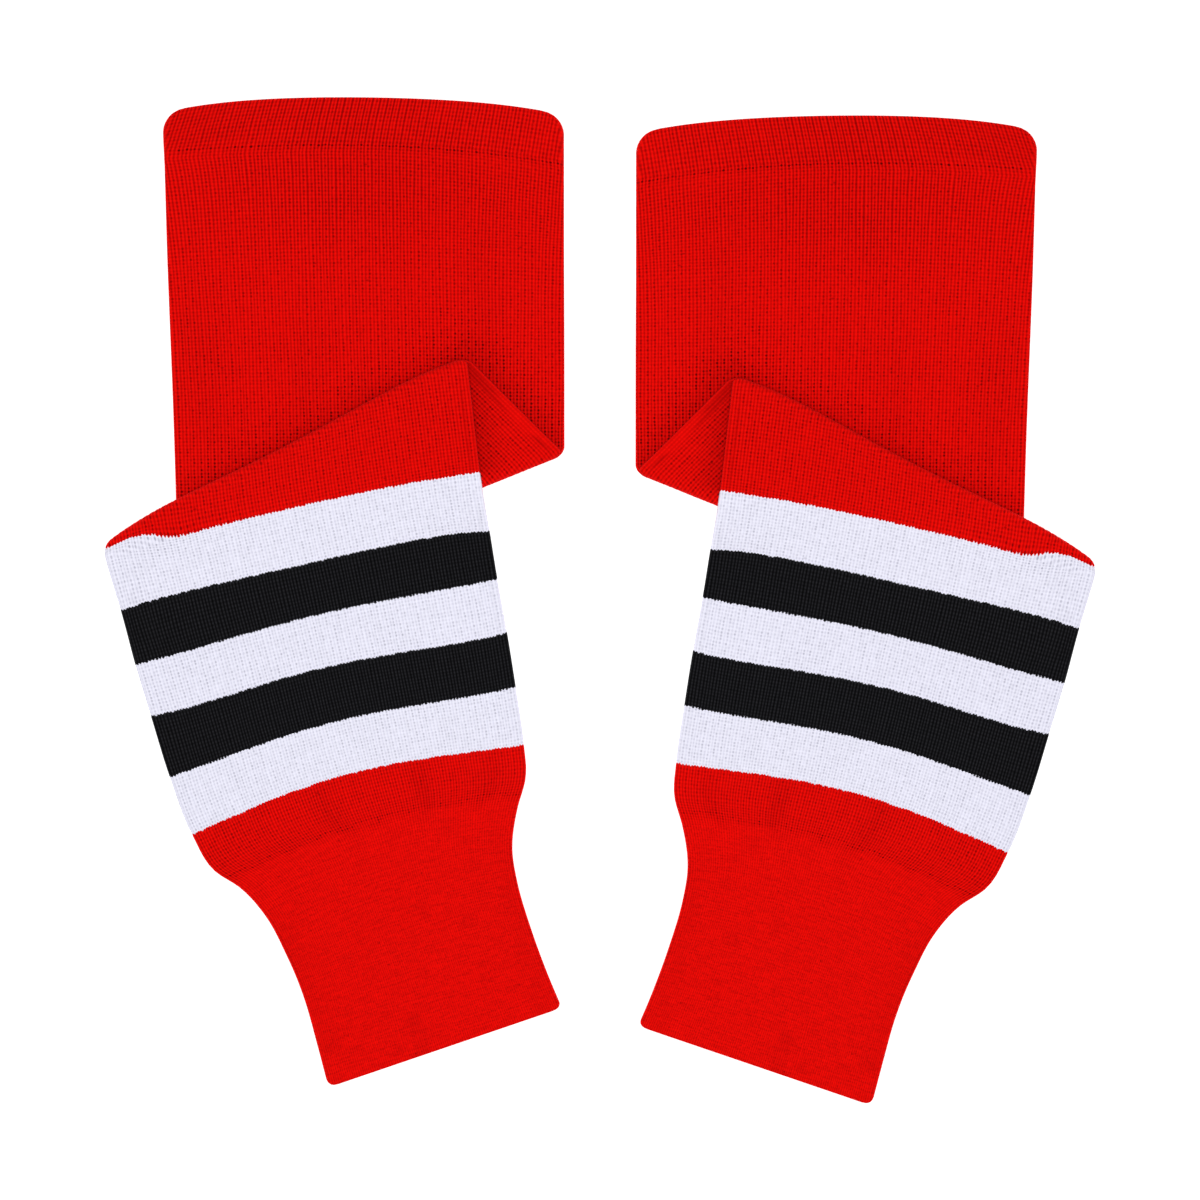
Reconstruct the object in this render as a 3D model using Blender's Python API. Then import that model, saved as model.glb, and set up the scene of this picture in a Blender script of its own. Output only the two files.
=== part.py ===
"""A pair of knitted hockey socks, laid flat and each folded twice like a letter Z.

Each sock is one tube, knitted in one piece: a turned welt at the wide mouth, a plain thigh, five
knitted-in stripes at the calf and a narrow ribbed cuff. Flattened, the tube is two walls that lie
on each other. The thigh lies on the floor. At the lower fold the tube turns up over it, and at the
upper fold it turns down again, so that the striped part lies on top and runs out to the floor.

Lengths are in millimetres in the tables and in metres in Blender. X runs to the right, Y towards
the mouths, Z up from the floor.
"""

import math
from collections import namedtuple

import bmesh
import bpy
import numpy as np

MM = 0.001

# The cloth
BODY_WALL = 1.5
WELT_WALL = 3.0  # the welt is the body's knit turned in, so it is two walls thick
CUFF_WALL = 1.8  # rib knit stands a little thicker
TUBE_GAP = 0.4  # between the front and the back wall, inside the flat tube

# How the layers lie
LAYER_GAP = 0.35  # between one layer of the folded tube and the next
BEND_HOLLOW = 1.0  # radius of the cloth's inner side in a fold
SETTLE_RUN = 15.0  # the middle layer comes down from the lower fold's height over this length
BRIDGE = 5.0  # a layer stays level this far past the edge that it lies on
TOP_BRIDGE = 12.0  # and the top layer stays level this far past the thigh's side
OVERHANG_RUN = 22.0  # then the middle layer drops to the floor beside the thigh over this length
DROP_RUN = 30.0  # and the striped part drops from the stack to the floor over this length
BEND_CORNER = 5.0  # the tube's rounded corner at a fold, seen from above
MOUTH_CORNER = 12.0
CUFF_CORNER = 5.0

# The pair
RIGHT_SOCK_LOWER = 11.3  # the right sock is the left one's mirror image, laid this much lower

# Resolution
POINTS_ACROSS = 12  # along one wall of a ring, closer together towards the tube's edges
EDGE_TURN = (45, 90, 135)  # degrees, points round the tube's flat edge
RIM_TURN = (45, 90, 135)  # degrees, loops round the cloth's cut end
BEND_STEPS = 6
CORNER_STEPS = 3
CUFF_RING = 0.45  # one ring stands at this part of the way from the cuff's last row but one to its end
SLOPE_STEP = 0.5  # a slope is measured over this length to each side

# A row is one line across the left sock, seen from above. It has its ends on the outline, how far
# it stands above their chord at a quarter, half and three quarters of its length, the wall there,
# the yarn from there on, and the steps that the rings make from there to the next row.
Row = namedtuple("Row", "name left_x left_y right_x right_y quarter middle three_quarter wall yarn steps")
THIGH = [
    Row("mouth", -271.4, 303.0, -22.3, 301.4, 8.6, 10.2, 8.2, WELT_WALL, "red", 1),
    Row("welt", -271.2, 289.0, -22.3, 287.0, 7.4, 9.2, 7.2, WELT_WALL, "red", 1),
    Row("welt seam", -270.8, 279.0, -22.3, 276.0, 5.0, 7.5, 5.5, WELT_WALL, "red", 1),
    Row("below the seam", -270.6, 274.0, -22.3, 270.0, 5.0, 7.5, 5.5, BODY_WALL, "red", 2),
    Row("upper thigh", -268.6, 210.0, -22.3, 216.0, 3.0, 4.0, 3.0, BODY_WALL, "red", 2),
    Row("lower thigh", -265.0, 118.0, -22.1, 163.0, 1.0, 1.5, 1.0, BODY_WALL, "red", 2),
]
LOWER_FOLD = Row("lower fold", -261.4, -6.0, -21.9, 90.5, 0, 0, 0, BODY_WALL, "red", 3)
UPPER_FOLD = Row("upper fold", -307.6, 35.3, -82.6, 151.0, 4.0, 2.7, 3.8, BODY_WALL, "red", 5)
CALF = [
    Row("stripe 1", -306.0, 24.0, -74.2, 79.7, 5.0, 5.6, 4.2, BODY_WALL, "white", 5),
    Row("stripe 2", -297.6, -5.3, -68.6, 44.5, 3.1, 3.7, 4.3, BODY_WALL, "black", 3),
    Row("stripe 3", -288.5, -39.6, -63.7, 13.8, 2.8, 4.3, 2.6, BODY_WALL, "white", 2),
    Row("stripe 4", -278.9, -71.3, -57.7, -19.5, 2.1, 4.7, 2.2, BODY_WALL, "black", 2),
    Row("stripe 5", -267.4, -108.6, -52.4, -52.8, 4.8, 7.2, 3.8, BODY_WALL, "white", 2),
    Row("ankle", -253.4, -144.9, -47.2, -89.0, 8.0, 10.9, 7.0, BODY_WALL, "red", 2),
    Row("taper", -239.0, -168.0, -46.4, -112.0, 8.5, 11.5, 8.5, BODY_WALL, "red", 1),
    Row("rib start", -224.0, -177.8, -50.8, -127.5, 8.0, 10.5, 8.0, CUFF_WALL, "red", 1),
    Row("cuff top", -208.2, -195.0, -54.2, -149.5, 7.0, 9.0, 7.0, CUFF_WALL, "red", 1),
    Row("cuff 2", -194.2, -221.0, -51.3, -174.0, 4.0, 5.5, 4.0, CUFF_WALL, "red", 1),
    Row("cuff 3", -183.3, -248.0, -41.8, -206.0, 2.0, 2.5, 2.0, CUFF_WALL, "red", 1),
    Row("cuff 4", -175.7, -275.0, -32.0, -232.5, 0.5, 1.0, 0.5, CUFF_WALL, "red", 1),
    Row("cuff end", -168.6, -302.0, -23.6, -252.6, 0, 0, 0, CUFF_WALL, "red", 0),
]
NUMBERS = slice(1, 9)  # the columns of a row that are interpolated
WALL = 7  # the wall's place among them

YARNS = {
    "red": ((0.78, 0.012, 0.004), 0.85),
    "white": ((0.80, 0.80, 0.90), 0.85),
    "black": ((0.008, 0.008, 0.010), 0.80),
}

HALF = BODY_WALL + TUBE_GAP / 2
BEND_RADIUS = HALF + BEND_HOLLOW  # of the sheet midway between the two walls
BEND_OUTSIDE = BEND_RADIUS + HALF
LAYER = 2 * HALF + LAYER_GAP
TURN = 2 * BEND_RADIUS

# A line of cloth as it lies in plan, with what the third dimension needs
Station = namedtuple("Station", "plan layer angle out wall yarn")


def ease(x):
    """Runs from 0 to 1 with level ends as x does."""
    x = np.clip(x, 0.0, 1.0)
    return x * x * (3 - 2 * x)


def numbers(row):
    return np.array(row[NUMBERS], dtype=float)


def chord(values):
    """A row's left end, right end, direction and the direction square to it, up the photo."""
    left, right = values[0:2], values[2:4]
    along = (right - left) / np.linalg.norm(right - left)
    return left, right, along, np.array([-along[1], along[0]])


def sag(values, u):
    """How far the row stands above its chord, a smooth curve through its three heights."""
    t = 4 * u
    quarter = t * (t - 2) * (t - 3) * (t - 4) / -6
    middle = t * (t - 1) * (t - 3) * (t - 4) / 4
    three_quarter = t * (t - 1) * (t - 2) * (t - 4) / -6
    return quarter * values[4] + middle * values[5] + three_quarter * values[6]


def plan_line(values, u, inset):
    """Points across a row, its two ends drawn in by inset."""
    left, right, _, up = chord(values)
    trim = inset / np.linalg.norm(right - left)
    kept = trim + (1 - 2 * trim) * u
    return left + np.outer(kept, right - left) + np.outer(sag(values, kept), up)


def between(rows, index, part):
    """The row that lies at a part of the way from one row to the next, on a smooth curve."""
    table = np.array([numbers(row) for row in rows])
    centres = (table[:, 0:2] + table[:, 2:4]) / 2
    at = np.concatenate([[0], np.cumsum(np.linalg.norm(np.diff(centres, axis=0), axis=1))])
    slope = np.gradient(table, at, axis=0)
    span = at[index + 1] - at[index]
    a, b, p = table[index], table[index + 1], part
    values = (
        (2 * p**3 - 3 * p**2 + 1) * a
        + (p**3 - 2 * p**2 + p) * span * slope[index]
        + (3 * p**2 - 2 * p**3) * b
        + (p**3 - p**2) * span * slope[index + 1]
    )
    values[WALL] = a[WALL] + (b[WALL] - a[WALL]) * p
    return values


def beyond(points, start, end):
    """How far points lie to the right of the line from start to end."""
    along = (end - start) / np.linalg.norm(end - start)
    offset = points - start
    return offset[..., 0] * along[1] - offset[..., 1] * along[0]


def bend_slope(before, fold, outward):
    """How far the knit's columns run along a fold for each length that they run across it."""
    table = numbers(fold) - numbers(before)
    _, _, along, _ = chord(numbers(fold))
    columns = table[0:2] / np.linalg.norm(table[0:2]) + table[2:4] / np.linalg.norm(table[2:4])
    return (columns @ along) / (columns @ outward)


def fold_frame(fold, outward_sign, before):
    """The line that a fold bends about: its values, its outward direction and its columns' slope."""
    values = numbers(fold)
    _, _, _, up = chord(values)
    outward = up * outward_sign
    return values, outward, bend_slope(before, fold, outward)


BEND_1 = fold_frame(LOWER_FOLD, -1, THIGH[0])
BEND_2 = fold_frame(UPPER_FOLD, 1, LOWER_FOLD)


def bend_row(bend, angle):
    """The row of a fold at an angle of its turn: 0 going in, 180 degrees coming out."""
    values, outward, slope = bend
    _, _, along, _ = chord(values)
    across = outward * (BEND_RADIUS * math.sin(angle) - BEND_OUTSIDE)
    helix = along * slope * BEND_RADIUS * (angle - math.pi / 2)
    row = values.copy()
    row[0:2] += across + helix
    row[2:4] += across + helix
    return row


def support_heights(points, layer):
    """Height of the sheet midway between the tube's walls, for plan points on one layer."""
    thigh_side = beyond(points, np.array([THIGH[0].left_x, THIGH[0].left_y]), BEND_1[0][0:2])
    over_thigh = 1 - ease((thigh_side - (TOP_BRIDGE if layer == 2 else BRIDGE)) / OVERHANG_RUN)
    left, right, _, _ = chord(BEND_1[0])
    past_fold = beyond(points, left, right)
    if layer == 0:
        return np.full(points.shape[:-1], HALF)
    if layer == 1:
        settle = 1 - ease((-past_fold - BEND_OUTSIDE) / SETTLE_RUN)
        return HALF + LAYER * over_thigh + (TURN - LAYER) * settle
    past_middle = beyond(points, BEND_2[0][0:2], left)
    clear = np.hypot(np.maximum(past_fold, 0), np.maximum(past_middle, 0))
    return HALF + (LAYER * over_thigh + TURN) * (1 - ease((clear - BRIDGE) / DROP_RUN))


def surface_normals(points, layer):
    """The upward normals of a layer, from the slopes of its heights."""
    slopes = [
        (support_heights(points + shift, layer) - support_heights(points - shift, layer)) / (2 * SLOPE_STEP)
        for shift in np.eye(2) * SLOPE_STEP
    ]
    normals = np.stack([-slopes[0], -slopes[1], np.ones_like(slopes[0])], axis=-1)
    return normals / np.linalg.norm(normals, axis=-1, keepdims=True)


def corner_insets(radius, start, steps):
    """Distances from the tube's end and how far a rounded corner draws the outline in there."""
    first = math.acos(1 - start / radius)
    for k in range(steps + 1):
        angle = first + (math.pi / 2 - first) * k / steps
        yield radius * (1 - math.cos(angle)), radius * (1 - math.sin(angle))


def end_row(rows, distance, at_mouth):
    """The row that lies a distance inside the tube's end."""
    index = 0 if at_mouth else len(rows) - 2
    a, b = numbers(rows[index]), numbers(rows[index + 1])
    length = np.linalg.norm((a[0:2] + a[2:4] - b[0:2] - b[2:4]) / 2)
    part = distance / length if at_mouth else 1 - distance / length
    return between(rows, index, part)


def rows_between(rows, first, last, start_part=0.0, end_part=1.0):
    """Interpolated rows from one row to another, with each row's own number of steps."""
    for i in range(first, last):
        low = start_part if i == first else 0.0
        high = end_part if i == last - 1 else 1.0
        for k in range(rows[i].steps):
            yield between(rows, i, low + (high - low) * k / rows[i].steps), rows[i].yarn


def panels():
    """The three panels' rows, each ending at the lines where the folds begin and end."""
    thigh_end = Row("fold 1 in", *bend_row(BEND_1, 0.0), "red", 0)
    middle_start = Row("fold 1 out", *bend_row(BEND_1, math.pi), "red", LOWER_FOLD.steps)
    middle_end = Row("fold 2 in", *bend_row(BEND_2, 0.0), "red", 0)
    calf_start = Row("fold 2 out", *bend_row(BEND_2, math.pi), "red", UPPER_FOLD.steps)
    return THIGH + [thigh_end], [middle_start, middle_end], [calf_start] + CALF


def stations(u):
    """Every line across the tube, from the mouth to the cuff's end, with the rims' own lines."""
    thigh, middle, calf = panels()
    flat = np.zeros(2)
    lines = []

    def add(values, yarn, layer, angle=None, out=flat, inset=0.0):
        half = values[WALL] + TUBE_GAP / 2
        plan = plan_line(values, u, half + inset)
        lines.append(Station(plan, layer, angle, out, values[WALL], yarn))

    for distance, inset in corner_insets(MOUTH_CORNER, WELT_WALL / 2, CORNER_STEPS):
        add(end_row(thigh, distance, True), "red", 0, inset=inset)
    for values, yarn in rows_between(thigh, 1, len(thigh) - 1):
        add(values, yarn, 0)
    for bend, layer in ((BEND_1, 0), (BEND_2, 1)):
        for k in range(BEND_STEPS + 1):
            angle = math.pi * k / BEND_STEPS
            inset = BEND_CORNER * (1 - abs(math.cos(angle)))
            add(bend_row(bend, angle), "red", layer, angle, bend[1], inset)
        if layer == 0:
            for values, yarn in list(rows_between(middle, 0, 1))[1:]:
                add(values, yarn, 1)
    for values, yarn in list(rows_between(calf, 0, len(calf) - 2))[1:]:
        add(values, yarn, 2)
    add(between(calf, len(calf) - 2, 0.0), "red", 2)
    add(between(calf, len(calf) - 2, CUFF_RING), "red", 2)
    for distance, inset in reversed(list(corner_insets(CUFF_CORNER, CUFF_WALL / 2, CORNER_STEPS))):
        add(end_row(calf, distance, False), "red", 2, inset=inset)
    return lines


def rim_lines(u, at_mouth):
    """The lines of the rounded rim: the sheet goes on past its last ring as the cloth turns in."""
    thigh, _, calf = panels()
    rows, wall, corner, layer = calf, CUFF_WALL, CUFF_CORNER, 2
    if at_mouth:
        rows, wall, corner, layer = thigh, WELT_WALL, MOUTH_CORNER, 0
    for turn in RIM_TURN:
        distance = wall / 2 * (1 - math.sin(math.radians(turn)))
        _, inset = next(corner_insets(corner, distance, 1))
        plan = plan_line(end_row(rows, distance, at_mouth), u, wall + TUBE_GAP / 2 + inset)
        offset = TUBE_GAP / 2 + wall / 2 * (1 + math.cos(math.radians(turn)))
        yield Station(plan, layer, None, np.zeros(2), wall, "red"), offset


def sheet(station):
    """The middle sheet's points on one line, and its normals on the side of the front wall."""
    height = support_heights(station.plan, station.layer)
    normal = surface_normals(station.plan, station.layer)
    if station.angle is not None:
        axis = station.plan - station.out * BEND_RADIUS * math.sin(station.angle)
        share = (1 - math.cos(station.angle)) / 2
        height = support_heights(axis, station.layer) * (1 - share)
        height = height + support_heights(axis, station.layer + 1) * share
        out = np.append(station.out, 0.0)
        out = out - normal * (normal @ out)[:, None]
        out /= np.linalg.norm(out, axis=1, keepdims=True)
        normal = normal * math.cos(station.angle) - out * math.sin(station.angle)
    if station.layer == 1:
        normal = -normal
    height = height + (station.wall - BODY_WALL)
    return np.column_stack([station.plan, height]), normal


def ring(station, offset):
    """One closed loop round the flat tube, at an offset from its middle sheet."""
    points, normals = sheet(station)
    front = points + normals * offset
    back = points - normals * offset
    arcs = []
    for end, inner, sign in ((-1, -2, 1), (0, 1, -1)):
        edge = points[end] - points[inner]
        edge -= normals[end] * (normals[end] @ edge)
        edge /= np.linalg.norm(edge)
        turns = np.radians(EDGE_TURN)
        turned = sign * np.outer(np.cos(turns), normals[end]) + np.outer(np.sin(turns), edge)
        arcs.append(points[end] + offset * turned)
    loop = np.vstack([front, arcs[0], back[::-1], arcs[1]])
    if station.layer != 1:
        loop[:, 2] = np.maximum(loop[:, 2], 0.0)
    return loop


def sock_loops():
    """The loops of the whole cloth: the outside to the cuff, its rim, and back along the inside."""
    u = (1 - np.cos(np.linspace(0, math.pi, POINTS_ACROSS))) / 2
    lines = stations(u)
    loops = [(ring(line, line.wall + TUBE_GAP / 2), line.yarn) for line in lines]
    loops += [(ring(line, offset), line.yarn) for line, offset in rim_lines(u, False)]
    loops += [(ring(line, TUBE_GAP / 2), line.yarn) for line in reversed(lines)]
    loops += [(ring(line, offset), line.yarn) for line, offset in reversed(list(rim_lines(u, True)))]
    return loops


def make_yarn(name):
    colour, roughness = YARNS[name]
    material = bpy.data.materials.new(f"{name}_knit")
    material.use_nodes = True
    shader = material.node_tree.nodes["Principled BSDF"]
    shader.inputs["Base Color"].default_value = (*colour, 1.0)
    shader.inputs["Roughness"].default_value = roughness
    shader.inputs["Metallic"].default_value = 0.0
    material.diffuse_color = (*colour, 1.0)
    return material


def build_sock(name, loops, side, shift, collection, yarns):
    """Joins each loop to the next and the last to the first. side is -1 for the mirror image."""
    mesh = bpy.data.meshes.new(name)
    bm = bmesh.new()
    grid = []
    for points, _ in loops:
        placed = [(side * x * MM, (y + shift) * MM, z * MM) for x, y, z in points]
        grid.append([bm.verts.new(p) for p in placed])
    for i, line in enumerate(grid):
        after = grid[(i + 1) % len(grid)]
        for j, corner in enumerate(line):
            k = (j + 1) % len(line)
            face = bm.faces.new((corner, line[k], after[k], after[j]))
            face.material_index = yarns.index(loops[i][1])
            face.smooth = True
    bmesh.ops.recalc_face_normals(bm, faces=bm.faces)
    bm.to_mesh(mesh)
    bm.free()
    for yarn in yarns:
        mesh.materials.append(bpy.data.materials[f"{yarn}_knit"])
    sock = bpy.data.objects.new(name, mesh)
    collection.objects.link(sock)
    return sock


def main():
    for thing in list(bpy.data.objects):
        bpy.data.objects.remove(thing, do_unlink=True)
    collection = bpy.data.collections.new("pair_of_hockey_socks")
    bpy.context.scene.collection.children.link(collection)
    yarns = list(YARNS)
    for yarn in yarns:
        make_yarn(yarn)
    loops = sock_loops()
    y = np.concatenate([points[:, 1] for points, _ in loops])
    middle = (y.max() + y.min() - RIGHT_SOCK_LOWER) / 2
    build_sock("left_sock", loops, 1, -middle, collection, yarns)
    build_sock("right_sock", loops, -1, -middle - RIGHT_SOCK_LOWER, collection, yarns)


main()
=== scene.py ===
# %% [markdown]
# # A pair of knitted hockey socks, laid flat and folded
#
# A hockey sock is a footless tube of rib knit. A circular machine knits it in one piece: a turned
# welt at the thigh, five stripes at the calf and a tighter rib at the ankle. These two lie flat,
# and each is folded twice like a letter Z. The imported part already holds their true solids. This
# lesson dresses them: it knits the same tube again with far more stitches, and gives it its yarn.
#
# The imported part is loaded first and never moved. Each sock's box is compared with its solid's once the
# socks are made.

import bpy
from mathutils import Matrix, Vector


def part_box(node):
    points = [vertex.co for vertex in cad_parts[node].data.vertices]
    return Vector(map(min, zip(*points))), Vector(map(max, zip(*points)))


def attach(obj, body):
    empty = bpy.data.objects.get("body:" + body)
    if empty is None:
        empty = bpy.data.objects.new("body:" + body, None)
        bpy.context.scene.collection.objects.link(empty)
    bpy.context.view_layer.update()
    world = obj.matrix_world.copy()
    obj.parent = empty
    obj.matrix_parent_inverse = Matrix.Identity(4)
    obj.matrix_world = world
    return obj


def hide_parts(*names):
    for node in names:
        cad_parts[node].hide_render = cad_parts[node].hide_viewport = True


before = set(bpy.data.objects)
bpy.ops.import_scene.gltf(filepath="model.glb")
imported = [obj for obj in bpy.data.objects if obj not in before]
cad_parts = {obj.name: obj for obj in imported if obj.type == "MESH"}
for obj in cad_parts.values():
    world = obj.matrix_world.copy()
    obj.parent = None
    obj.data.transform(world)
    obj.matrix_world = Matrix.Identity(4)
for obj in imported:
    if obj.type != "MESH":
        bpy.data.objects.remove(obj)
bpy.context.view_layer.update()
print("CAD nodes:", sorted(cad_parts))

# %% The other modules
import math
from collections import namedtuple

import bpy
import numpy as np

MM = 0.001
print("lengths are in millimetres, and one is", MM, "of Blender's units")

# %% [markdown]
# ## The tube as it lies
#
# The tube is worked out from rows. A row is one course of stitches across the sock, seen from
# above: its two ends on the outline, and how far it bows above the straight line between them at a
# quarter, half and three quarters of its length. With each row goes the thickness of the knit and
# the length of knit from the mouth to the row's ends, so that every stitch knows its place on the
# tube. A subdivided plane with a cloth simulation could be folded this way too, but its folds
# would land a little differently each time, and the rows put them where they are.

# %% The rows, in millimetres
Row = namedtuple(
    "Row",
    "name left_x left_y right_x right_y quarter middle three_quarter wall left_knit right_knit bow",
    defaults=(0.0,),
)
BODY_WALL, WELT_WALL, CUFF_WALL = 1.5, 3.0, 1.8
THIGH = [
    Row("mouth", -271.4, 303.0, -22.3, 301.4, 8.6, 10.2, 8.2, WELT_WALL, 0, 0),
    Row("welt", -271.2, 289.0, -22.3, 287.0, 7.4, 9.2, 7.2, WELT_WALL, 15, 13),
    Row("welt seam", -270.8, 279.0, -22.3, 272.5, 5.5, 8.0, 6.5, WELT_WALL, 26, 24),
    Row("below the seam", -270.6, 274.0, -22.3, 266.5, 5.5, 8.0, 6.5, BODY_WALL, 31.5, 31),
    Row("upper thigh", -268.6, 210.0, -22.3, 216.0, 3.0, 4.0, 3.0, BODY_WALL, 93, 87),
    Row("lower thigh", -265.0, 118.0, -22.1, 163.0, 1.0, 1.5, 1.0, BODY_WALL, 185, 140),
]
LOWER_FOLD = Row("lower fold", -261.4, -6.0, -21.9, 90.5, 0, 0, 0, BODY_WALL, 309, 212)
UPPER_FOLD = Row("upper fold", -307.6, 35.3, -82.6, 151.0, 4.0, 2.7, 3.8, BODY_WALL, 365, 297)
CALF = [
    Row("stripe 1", -306.0, 24.0, -74.2, 79.7, 5.0, 5.6, 4.2, BODY_WALL, 380, 368, 12),
    Row("stripe 2", -297.6, -5.3, -68.6, 44.5, 3.1, 3.7, 4.3, BODY_WALL, 406, 406),
    Row("stripe 3", -288.5, -39.6, -63.7, 13.8, 2.8, 4.3, 2.6, BODY_WALL, 439, 439),
    Row("stripe 4", -278.9, -71.3, -57.7, -19.5, 2.1, 4.7, 2.2, BODY_WALL, 473, 473),
    Row("stripe 5", -267.4, -108.6, -52.4, -52.8, 4.8, 7.2, 3.8, BODY_WALL, 509, 509),
    Row("ankle", -253.4, -144.9, -47.2, -89.0, 8.0, 10.9, 7.0, BODY_WALL, 547, 547),
    Row("taper", -239.0, -168.0, -46.4, -112.0, 8.5, 11.5, 8.5, BODY_WALL, 572, 568),
    Row("rib start", -224.0, -177.8, -50.8, -127.5, 8.0, 10.5, 8.0, CUFF_WALL, 588, 588),
    Row("cuff top", -208.2, -195.0, -54.2, -149.5, 7.0, 9.0, 7.0, CUFF_WALL, 611, 611),
    Row("cuff 2", -194.2, -221.0, -51.3, -174.0, 4.0, 5.5, 4.0, CUFF_WALL, 639, 639),
    Row("cuff 3", -183.3, -248.0, -41.8, -206.0, 2.0, 2.5, 2.0, CUFF_WALL, 671, 671),
    Row("cuff 4", -175.7, -275.0, -32.0, -232.5, 0.5, 1.0, 0.5, CUFF_WALL, 697, 697),
    Row("cuff end", -168.6, -302.0, -23.6, -252.6, 0, 0, 0, CUFF_WALL, 721, 721),
]
WALL, KNIT, BOW = 7, slice(8, 10), 10  # places among a row's numbers
BOW_REACH = 0.22  # the share of a row that its bow takes
KNIT_LENGTH = CALF[-1].left_knit
print("tube length, mm:", KNIT_LENGTH, "and the stripes' edges:", [row.right_knit for row in CALF[:6]])

# %% [markdown]
# ## From rows to a surface
#
# Between two rows the course runs on a smooth curve through all of them, a Hermite curve, as in
# Blender's own Bezier curves. Only the thickness and the knit's length run straight. The knit's
# length also runs straight along a row, but for the first stripe's edge, which is one course over
# most of its way and turns over the fold at its left end. Its bow says how far it departs.

# %% A row between two rows
def ease(x):
    """Runs from 0 to 1 with level ends as x does."""
    x = np.clip(x, 0.0, 1.0)
    return x * x * (3 - 2 * x)


def numbers(row):
    return np.array(row[1:], dtype=float)


def chord(values):
    """A row's left end, right end, direction and the direction square to it, up the photo."""
    left, right = values[0:2], values[2:4]
    along = (right - left) / np.linalg.norm(right - left)
    return left, right, along, np.array([-along[1], along[0]])


def between(rows, index, part):
    """The row at a part of the way from one row to the next."""
    table = np.array([numbers(row) for row in rows])
    centres = (table[:, 0:2] + table[:, 2:4]) / 2
    at = np.concatenate([[0], np.cumsum(np.linalg.norm(np.diff(centres, axis=0), axis=1))])
    slope = np.gradient(table, at, axis=0)
    span = at[index + 1] - at[index]
    a, b, p = table[index], table[index + 1], part
    values = (
        (2 * p**3 - 3 * p**2 + 1) * a
        + (p**3 - 2 * p**2 + p) * span * slope[index]
        + (3 * p**2 - 2 * p**3) * b
        + (p**3 - p**2) * span * slope[index + 1]
    )
    values[WALL:] = a[WALL:] + (b[WALL:] - a[WALL:]) * p
    return values


def plan_line(values, u, inset):
    """Points across a row, its two ends drawn in by inset, and each point's length of knit."""
    left, right, _, up = chord(values)
    trim = inset / np.linalg.norm(right - left)
    kept = trim + (1 - 2 * trim) * u
    t = 4 * kept
    bow = (
        t * (t - 2) * (t - 3) * (t - 4) / -6 * values[4]
        + t * (t - 1) * (t - 3) * (t - 4) / 4 * values[5]
        + t * (t - 1) * (t - 2) * (t - 4) / -6 * values[6]
    )
    first, last = values[KNIT]
    knit = first + (last - first) * kept - values[BOW] * (1 - kept) * ease(kept / BOW_REACH)
    return left + np.outer(kept, right - left) + np.outer(bow, up), knit


print("a row half way down the thigh:", np.round(between(THIGH, 4, 0.5), 1).tolist())

# %% [markdown]
# ## The two folds
#
# A fold in thick knit is never sharp. The sheet midway between the tube's two walls turns on a
# half circle. The folds run aslant, so the columns of stitches, which knitters call wales, also
# slide a little along the fold as they go round it.

# %% How a fold turns
TUBE_GAP = 0.4  # between the front and the back wall, inside the flat tube
LAYER_GAP = 0.35  # between one layer of the stack and the next
BEND_HOLLOW = 1.0  # inside a fold, from its axis to the cloth
HALF = BODY_WALL + TUBE_GAP / 2
BEND_RADIUS = HALF + BEND_HOLLOW
BEND_OUTSIDE = BEND_RADIUS + HALF
LAYER = 2 * HALF + LAYER_GAP
TURN = 2 * BEND_RADIUS


def fold_frame(fold, outward_sign, before):
    """A fold's values, its outward direction, and how far the wales slide along it."""
    values = numbers(fold)
    _, _, along, up = chord(values)
    outward = up * outward_sign
    edges = values - numbers(before)
    wales = edges[0:2] / np.linalg.norm(edges[0:2]) + edges[2:4] / np.linalg.norm(edges[2:4])
    return values, outward, (wales @ along) / (wales @ outward)


def bend_row(bend, angle):
    """The row of a fold at an angle of its turn: 0 going in, 180 degrees coming out."""
    values, outward, slope = bend
    _, _, along, _ = chord(values)
    round_it = BEND_RADIUS * (angle - math.pi / 2)
    moved = outward * (BEND_RADIUS * math.sin(angle) - BEND_OUTSIDE) + along * slope * round_it
    row = values.copy()
    row[0:2] += moved
    row[2:4] += moved
    row[KNIT] += round_it
    return row


BEND_1 = fold_frame(LOWER_FOLD, -1, THIGH[0])
BEND_2 = fold_frame(UPPER_FOLD, 1, LOWER_FOLD)
print("the folds are", 2 * BEND_OUTSIDE, "mm thick; the stack is", HALF * 2 + LAYER + TURN, "mm")

# %% [markdown]
# ## How high the cloth lies
#
# The thigh lies on the floor. The middle layer lies on the thigh, and where it reaches past the thigh's
# side it sinks to the floor. The striped layer lies on both and runs down to the floor past the lower
# fold. Each of these is a smooth step, so the cloth has no kink. The knit isn't stiff paper, though: at
# the ankle the wide tube is gathered into the narrow rib, and it stands up there in soft pleats with
# narrow troughs between them. They are placed where the real ones catch the light.

# %% How a layer lies on what is under it
SETTLE_RUN = 15.0  # mm in which the middle layer comes down from the lower fold to the thigh
BRIDGE, TOP_BRIDGE = 5.0, 12.0  # mm that a layer goes on past an edge before it sinks
OVERHANG_RUN, DROP_RUN = 22.0, 30.0  # mm in which it sinks, past the thigh's side and past a fold


def beyond(points, start, end):
    """How far points lie to the right of the line from start to end."""
    along = (end - start) / np.linalg.norm(end - start)
    offset = points - start
    return offset[..., 0] * along[1] - offset[..., 1] * along[0]


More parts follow.
